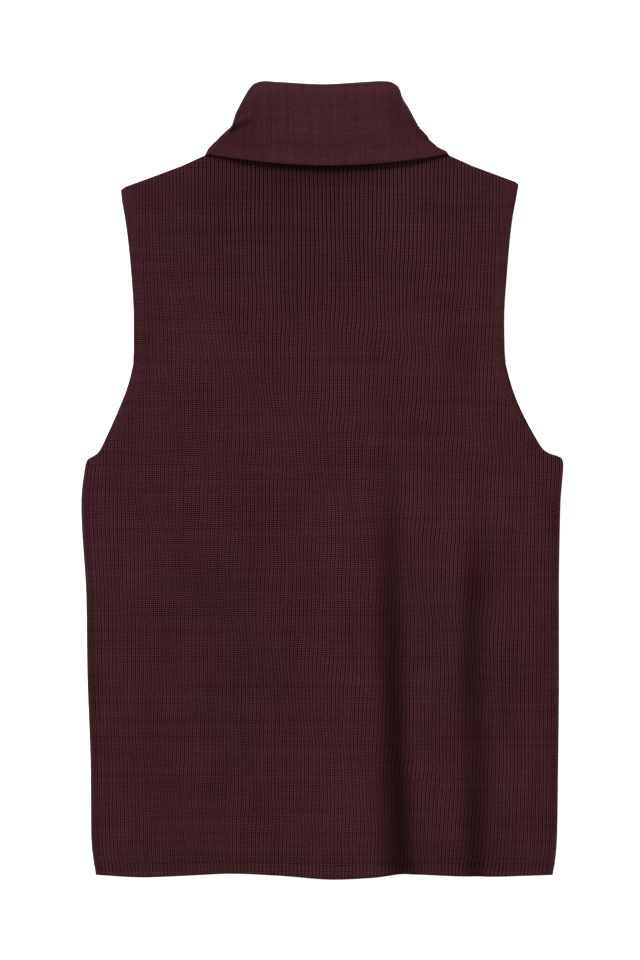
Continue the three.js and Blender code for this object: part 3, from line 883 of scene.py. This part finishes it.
# Painted shade in the folds and below the collar, added to the dark seam lines
form["masks"]["painted_shade_and_seam_lines"] = form["masks"]["painted_shade_and_seam_lines"] + painted_shade_mask(across, up)
back_hem_band = knit_piece("back_hem_band_knit", rib_knit, "back_hem_band", form, True)


# Collar
# A tube of finer plain knit, linked to the neck edge. It stands up, rolls over and falls outward
# once, so that its fall hides the neck seam. Flat on the surface it is four walls thick.

# Heights of its layers, from the stand's inner face up to the fall's outer face
COLLAR_INNER = 0.15
STAND_OUTER = COLLAR_INNER + BODY_WALL
FALL_INNER = STAND_OUTER + SEAM_GAP
FALL_OUTER = FALL_INNER + COLLAR_WALL

# The fall's free edge: a shallow curve over the back, and a deep one below the front
FALL_ACROSS = 4.6
FALL_HALF = 109.8
FALL_UP = 673.1
FALL_BACK_DROP = 10.7
FALL_BACK_SKEW = 0.05
FALL_FRONT_DROP = 63
EDGE_BY_SIDE = 0.15

# The roll lies lower at the front, and sinks where it is highest over the back
ROLL_FRONT_DROP = 7
ROLL_DROP = 4.6
ROLL_DROP_FROM = 697
ROLL_DROP_OVER = 38
ROLL_BY_ANGLE = 0.4
ROLL_BY_SIDE = 0.3
SIDE_FROM = 0.5

WALE = 1.95
FINE_COURSE = 1.85

# The roll over the back, from the left neck point to the right one: across, up
ROLL_BACK = [
    (-81.9, 698.6),
    (-77.7, 711.5),
    (-71.7, 723.5),
    (-67.1, 731.7),
    (-62.7, 737.0),
    (-56.2, 739.4),
    (-42.0, 738.9),
    (1.0, 736.7),
    (38.0, 738.7),
    (55.0, 739.6),
    (63.0, 738.8),
    (68.9, 735.0),
    (72.3, 725.6),
    (78.2, 715.4),
    (87.6, 697.5),
]

# Which way, and how far in layers, each side turns from front to back: way down the fall, across, up
SIDE_TURN_LEFT = [
    (0, -0.54, 0.12),
    (0.25, -0.4, 0.6),
    (0.5, -0.35, 0.8),
    (0.85, -0.85, 0.4),
    (1, -0.93, -0.36),
]
SIDE_TURN_RIGHT = [
    (0, 0.5, 0.25),
    (0.3, 0.3, 0.25),
    (0.62, -0.45, 0.15),
    (0.76, -0.1, 0.25),
    (0.9, 0.72, 0.2),
    (1, 0.93, -0.38),
]

# Soft folds of the fall: start, end, width, height, which is negative in a hollow
FOLDS = [
    ((-90, 696), (-60, 711), 3.6, 2.1),
    ((-94, 690), (-62, 702), 4.5, -1.3),
    ((93, 692), (106, 678), 3.0, -1.3),
    ((100, 690), (112, 677), 3.5, 1.1),
]
FOLD_STARTS_OVER = 8
FOLD_ENDS_OVER = 12

# The fall's free edge lifts off the back a little: most at the middle
FALL_LIFT = 2.9
FALL_LIFT_FROM = 1.0
FALL_LIFT_WIDE = 1.6

# A painted highlight along the top of the roll, which turns towards the light: how much lighter, and how
# far down it fades
ROLL_HIGHLIGHT = 0.35
ROLL_HIGHLIGHT_OVER = 16

# The fine yarn's colour runs from FINE_DARK, in painted shade between its loops, to FINE_LIGHT; its own
# random tone moves between them too
FINE_LIGHT = (0.0677, 0.0232, 0.0293, 1)
FINE_DARK = (0.0315, 0.0050, 0.0082, 1)

# Points round the collar: over the back, below the front, and at each side's turn
BACK_STEPS = 150
FRONT_STEPS = 90
TURN_STEPS = 10

# Points on the collar's way. Shares run from 0 at the roll to 1 at the neck seam on the stand, and
# on the fall to 1 as far down as the seam and 2 at the free edge. Parts run round each bend
STAND_IN_SHARES = np.linspace(1, 0, 14)
STAND_OUT_SHARES = np.linspace(0, 1, 12)
FALL_SHARES = np.concatenate([np.linspace(0, 1.9, 34), [1.94, 1.97, 1.99]])
FALL_IN_EVERY = 2
ROLL_PARTS = np.linspace(0, 1, 16)[1:-1]
EDGE_PARTS = np.linspace(0, 1, 9)
EDGE_BULGE = 0.025
SLOT_PARTS = np.linspace(0, 1, 6)[1:-1]


def roll_line(rows, count=2000):
    """A smooth curve through the roll's points, by its own length from 0 to 1."""
    points = np.array(rows, float)
    points = np.vstack([2 * points[0] - points[1], points, 2 * points[-1] - points[-2]])
    knots = np.concatenate([[0], np.cumsum(np.hypot(*np.diff(points, axis=0).T) ** 0.5)])
    at = np.linspace(knots[1], knots[-2], count)
    i = np.clip(np.searchsorted(knots, at) - 1, 1, len(knots) - 3)

    def between(first, second, low, high):
        share = ((at - knots[low]) / (knots[high] - knots[low]))[:, None]
        return first * (1 - share) + second * share

    start = between(points[i - 1], points[i], i - 1, i)
    middle = between(points[i], points[i + 1], i, i + 1)
    end = between(points[i + 1], points[i + 2], i + 1, i + 2)
    first = between(start, middle, i - 1, i + 1)
    second = between(middle, end, i, i + 2)
    curve = between(first, second, i, i + 1)
    walked = np.concatenate([[0], np.cumsum(np.hypot(*np.diff(curve, axis=0).T))])
    forward = np.gradient(curve, axis=0)
    outward = np.stack([-forward[:, 1], forward[:, 0]], axis=-1)
    return curve, outward / np.linalg.norm(outward, axis=1, keepdims=True), walked / walked[-1]


def ring_places():
    """Side, angle and turn of each point round the collar, starting at the centre front."""
    quarter = np.pi / 2
    over = np.linspace(-quarter, quarter, BACK_STEPS + 1)
    under = np.linspace(quarter, -quarter, FRONT_STEPS + 1)
    turn = np.linspace(quarter, -quarter, TURN_STEPS + 1)[1:-1]
    is_back = np.concatenate([np.ones(len(over) + len(turn)), np.zeros(len(under)), np.ones(len(turn))])
    angle = np.concatenate([over, 0 * turn + quarter, under, 0 * turn - quarter])
    height = np.concatenate([0 * over + quarter, turn, 0 * under - quarter, -turn])
    start = len(over) + len(turn) + FRONT_STEPS // 2
    order = np.roll(np.arange(len(angle)), -start)
    order = np.append(order, order[0])
    return is_back[order] > 0, angle[order], height[order]


def stations():
    """The collar's way: up inside the stand, over the roll, down the fall and back up under it.

    Each is on the fall or the stand, with a share down from the roll, a height and a lift."""
    middle = (STAND_OUTER + FALL_INNER) / 2
    outer = middle - COLLAR_INNER
    slot = FALL_INNER - middle
    half_wall = COLLAR_WALL / 2
    rows = [(0, share, COLLAR_INNER, 0) for share in STAND_IN_SHARES]
    for turn in math.pi * ROLL_PARTS:
        rows.append((0, 0, middle - outer * math.cos(turn), outer * math.sin(turn)))
    rows += [(1, share, FALL_OUTER, 0) for share in FALL_SHARES]
    for turn in math.pi * EDGE_PARTS:
        height = FALL_INNER + half_wall + half_wall * math.cos(turn)
        rows.append((1, 2 - EDGE_BULGE * (1 - math.sin(turn)), height, 0))
    rows += [(1, share, FALL_INNER, 0) for share in FALL_SHARES[::-FALL_IN_EVERY]]
    for turn in math.pi * SLOT_PARTS:
        rows.append((0, 0, middle + slot * math.cos(turn), slot * math.sin(turn)))
    rows += [(0, share, STAND_OUTER, 0) for share in STAND_OUT_SHARES]
    rows.append(rows[0])
    return np.array(rows, float)


def fold_share(plan, start, end, width):
    """How far a point lies on a soft fold, from 0 away from it to 1 on its line."""
    start, way = np.array(start, float), np.subtract(end, start).astype(float)
    reach = np.hypot(*way)
    off = plan - start
    along = (off @ way) / reach
    aside = (off[..., 0] * way[1] - off[..., 1] * way[0]) / reach
    ends = ease(along / FOLD_STARTS_OVER) * ease((reach - along) / FOLD_ENDS_OVER)
    return np.exp(-((aside / width) ** 2)) * ends


def collar_lines(is_back, angle):
    """The neck seam, the roll and the fall's free edge round the collar, and the way out of the roll."""
    sideways, middle = np.sin(angle), np.cos(angle)
    share = np.clip(sideways, -1, 1)
    drop = np.where(is_back, BACK_NECK_DROP, FRONT_NECK_DROP)
    neck_up = NECK_UP + NECK_TILT * NECK_HALF * sideways - drop * (1 - share**2)
    neck = np.stack([NECK_ACROSS + NECK_HALF * sideways, neck_up], axis=-1)

    curve, normals, walked = roll_line(ROLL_BACK)
    along = 0.5 + ROLL_BY_ANGLE * angle / np.pi + ROLL_BY_SIDE * sideways
    left, right = curve[0], curve[-1]
    front_roll = left + (right - left) * (sideways[:, None] + 1) / 2
    front_roll = front_roll - [0, ROLL_FRONT_DROP] * middle[:, None]
    back_roll = np.stack([np.interp(along, walked, curve[:, i]) for i in range(2)], axis=-1)
    roll = np.where(is_back[:, None], back_roll, front_roll)

    to_side = ease((np.abs(sideways) - SIDE_FROM) / (1 - SIDE_FROM))[:, None]
    front_out = np.where(angle[:, None] < 0, normals[0], normals[-1])
    front_out = front_out * to_side + [0, 1] * (1 - to_side)
    back_out = np.stack([np.interp(along, walked, normals[:, i]) for i in range(2)], axis=-1)
    outward = np.where(is_back[:, None], back_out, front_out)
    outward = outward / np.linalg.norm(outward, axis=1, keepdims=True)

    place = EDGE_BY_SIDE * sideways + (1 - EDGE_BY_SIDE) * angle / (np.pi / 2)
    inside = np.clip(1 - place**2, 0, 1)
    back_drop = FALL_BACK_DROP * inside * (1 + FALL_BACK_SKEW * place)
    edge_drop = np.where(is_back, back_drop, FALL_FRONT_DROP * np.sqrt(inside))
    edge = np.stack([FALL_ACROSS + FALL_HALF * place, FALL_UP - edge_drop], axis=-1)
    return neck, roll, edge, outward


def collar_form():
    """Points of the collar, the angle of each ring's points, and the painted highlight along its roll.
    """
    is_back, angle, turn = ring_places()
    neck, roll, edge, outward = collar_lines(is_back, angle)
    on_fall, share, height, lift = (column[:, None] for column in stations().T)
    stand_length = np.hypot(*(roll - neck).T)[None, :]
    fall_length = np.hypot(*(roll - edge).T)[None, :]
    down = np.minimum(share, 1) * stand_length
    down = down + np.maximum(share - 1, 0) * (fall_length - stand_length)
    to_edge = (down / fall_length)[..., None]
    to_neck = (share + 0 * stand_length)[..., None]
    fall, stand = roll + (edge - roll) * to_edge, roll + (neck - roll) * to_neck
    plan = np.where(on_fall[..., None] > 0, fall, stand) + outward[None] * lift[..., None]

    way = on_fall * np.clip(down / fall_length, 0, 1)
    turns = []
    for column in (1, 2):
        left = smooth_line(SIDE_TURN_LEFT, column)(way)
        right = smooth_line(SIDE_TURN_RIGHT, column)(way)
        turns.append(np.where(angle < 0, left, right))
    plan = plan + np.stack(turns, axis=-1) * (height * np.cos(turn))[..., None]

    roll_high = ease((roll[:, 1] - ROLL_DROP_FROM) / ROLL_DROP_OVER)
    lowered = np.where(is_back, ROLL_DROP * roll_high * (1 - ease(share)), 0)
    to_free_edge = ease((share - FALL_LIFT_FROM) / (2 - FALL_LIFT_FROM))
    raised = FALL_LIFT * on_fall * to_free_edge * ease(FALL_LIFT_WIDE * np.cos(angle))
    z = FALL_OUTER - lowered + height * np.sin(turn) + np.where(is_back, raised, 0)
    on_top = on_fall * np.where(is_back, np.maximum(np.sin(turn), 0), 0)
    for start, end, width, size in FOLDS:
        z = z + size * on_top * fold_share(plan, start, end, width)
    points = np.dstack([plan[..., 0], plan[..., 1] - VEST_LENGTH / 2, z])
    # The painted highlight: lightest on the roll, fading down the collar
    return points, angle, ROLL_HIGHLIGHT * (1 - ease(down / ROLL_HIGHLIGHT_OVER))


def collar_knit(points, angle):
    """Wales counted along each ring from its centre back, and courses along the collar's way."""
    ring_step = np.linalg.norm(np.diff(points, axis=1), axis=2)
    wales = np.hstack([np.zeros((len(points), 1)), np.cumsum(ring_step, axis=1)])
    centre = (len(angle) - 1) // 2
    wales = (wales - wales[:, centre:centre + 1]) / WALE
    way_step = np.linalg.norm(np.diff(points, axis=0), axis=2)
    courses = np.vstack([np.zeros((1, points.shape[1])), np.cumsum(way_step, axis=0)])
    return np.stack([wales, courses / FINE_COURSE], axis=-1)


# Painted shade between the wales and between the courses, around the middle of the yarn's colour
FINE_MIDDLE = 0.5
WALE_SHADE = 0.13
FINE_COURSE_SHADE = 0.15
FINE_DEEP = 0.2
FINE_BUMP = 0.5

# What varies the shade: fibres, streaks, rows and blotches, as for the rib knit
FINE_TEXTURES = [
    ("Knit", 0.9, (1.0, 2.0, (0.9, 0.7, 1.0))),
    ("Knit", 0.7, (1.0, 3.0, (0.5, 0.03, 1.0))),
    ("Knit", 0.4, (1.0, 2.0, (0.03, 0.35, 1.0))),
    ("Place", 0.5, (14.0, 2.0, (1, 1, 1))),
]


def fine_stitches():
    """Plain knit too fine for its own shape: small V stitches in wales, with faint streaks."""
    tree, given, gives = new_group(
        "fine stitches",
        [("Knit", "Vector"), ("Place", "Vector"), ("Roll Highlight", "Float"), ("Light", "Color"),
         ("Dark", "Color")],
        [("Colour", "Color"), ("Height", "Float")],
    )
    split = tree.nodes.new("ShaderNodeSeparateXYZ")
    tree.links.new(given["Knit"], split.inputs[0])
    wales, courses = split.outputs[0], split.outputs[1]
    between = wave(tree, wales)
    course = wave(tree, courses)
    shade = calc(tree, "MULTIPLY_ADD", course, -FINE_COURSE_SHADE, FINE_MIDDLE)
    shade = calc(tree, "MULTIPLY_ADD", between, -WALE_SHADE, shade)
    # The painted highlight along the roll lightens the yarn
    shade = vary(tree, given, calc(tree, "ADD", shade, given["Roll Highlight"]), FINE_TEXTURES)
    tree.links.new(yarn_colour(tree, given, shade), gives["Colour"])
    height = calc(tree, "MULTIPLY", calc(tree, "ADD", between, course), -FINE_DEEP)
    tree.links.new(height, gives["Height"])
    return tree


fine_knit = knit_material(
    "fine plain knit, dark aubergine yarn",
    fine_stitches(),
    FINE_LIGHT,
    FINE_DARK,
    FINE_BUMP,
    [("Roll Highlight", "roll_highlight")],
)

points, angle, roll_highlight = collar_form()
knit = collar_knit(points, angle)
bm = bmesh.new()
bm.loops.layers.uv.new("knit")
bm.verts.layers.float.new("roll_highlight")
add_face(bm, points, knit, {"roll_highlight": roll_highlight}, False)
collar = finish_cloth(bm, "collar_knit", fine_knit, "collar")


# The surface below
# A plain pale light table, wide enough for the camera's view, lit from below to hold shadows off.

FLOOR_SIZE = 6.0
FLOOR_GREY = 0.9
FLOOR_ROUGHNESS = 0.9
FLOOR_GLOW = 0.85

bm = bmesh.new()
bmesh.ops.create_grid(bm, x_segments=1, y_segments=1, size=FLOOR_SIZE / 2)
mesh = bpy.data.meshes.new("surface")
bm.to_mesh(mesh)
bm.free()
surface = bpy.data.objects.new("surface", mesh)
bpy.context.scene.collection.objects.link(surface)
pale = bpy.data.materials.new("pale matt surface")
pale.use_nodes = True
shader = pale.node_tree.nodes["Principled BSDF"]
shader.inputs["Base Color"].default_value = (FLOOR_GREY, FLOOR_GREY, FLOOR_GREY, 1)
shader.inputs["Roughness"].default_value = FLOOR_ROUGHNESS
shader.inputs["Emission Color"].default_value = (1, 1, 1, 1)
shader.inputs["Emission Strength"].default_value = FLOOR_GLOW
mesh.materials.append(pale)


# Light and camera
# Soft studio light from beyond the collar and a little to the left, and a camera straight above.

KEY_FROM = Vector((-0.8, 1.75, 1.6))
KEY_SOFTNESS = math.radians(24)
KEY_POWER = 3.2
WORLD_LIGHT = 0.42
CAMERA_PLACE = (-0.0021, 0.0002, 2.4808)
LENS = 100
SENSOR = 36

key = bpy.data.lights.new("key", "SUN")
key.angle = KEY_SOFTNESS
key.energy = KEY_POWER
key_object = bpy.data.objects.new("key", key)
key_object.location = KEY_FROM
key_object.rotation_euler = (-KEY_FROM).to_track_quat("-Z", "Y").to_euler()
bpy.context.scene.collection.objects.link(key_object)

world = bpy.data.worlds.new("soft studio")
world.use_nodes = True
world.node_tree.nodes["Background"].inputs["Color"].default_value = (1, 1, 1, 1)
world.node_tree.nodes["Background"].inputs["Strength"].default_value = WORLD_LIGHT
bpy.context.scene.world = world

lens = bpy.data.cameras.new("camera")
lens.lens = LENS
lens.sensor_width = SENSOR
camera = bpy.data.objects.new("camera", lens)
camera.location = CAMERA_PLACE
bpy.context.scene.collection.objects.link(camera)
bpy.context.scene.camera = camera
bpy.context.scene.view_settings.view_transform = "Standard"
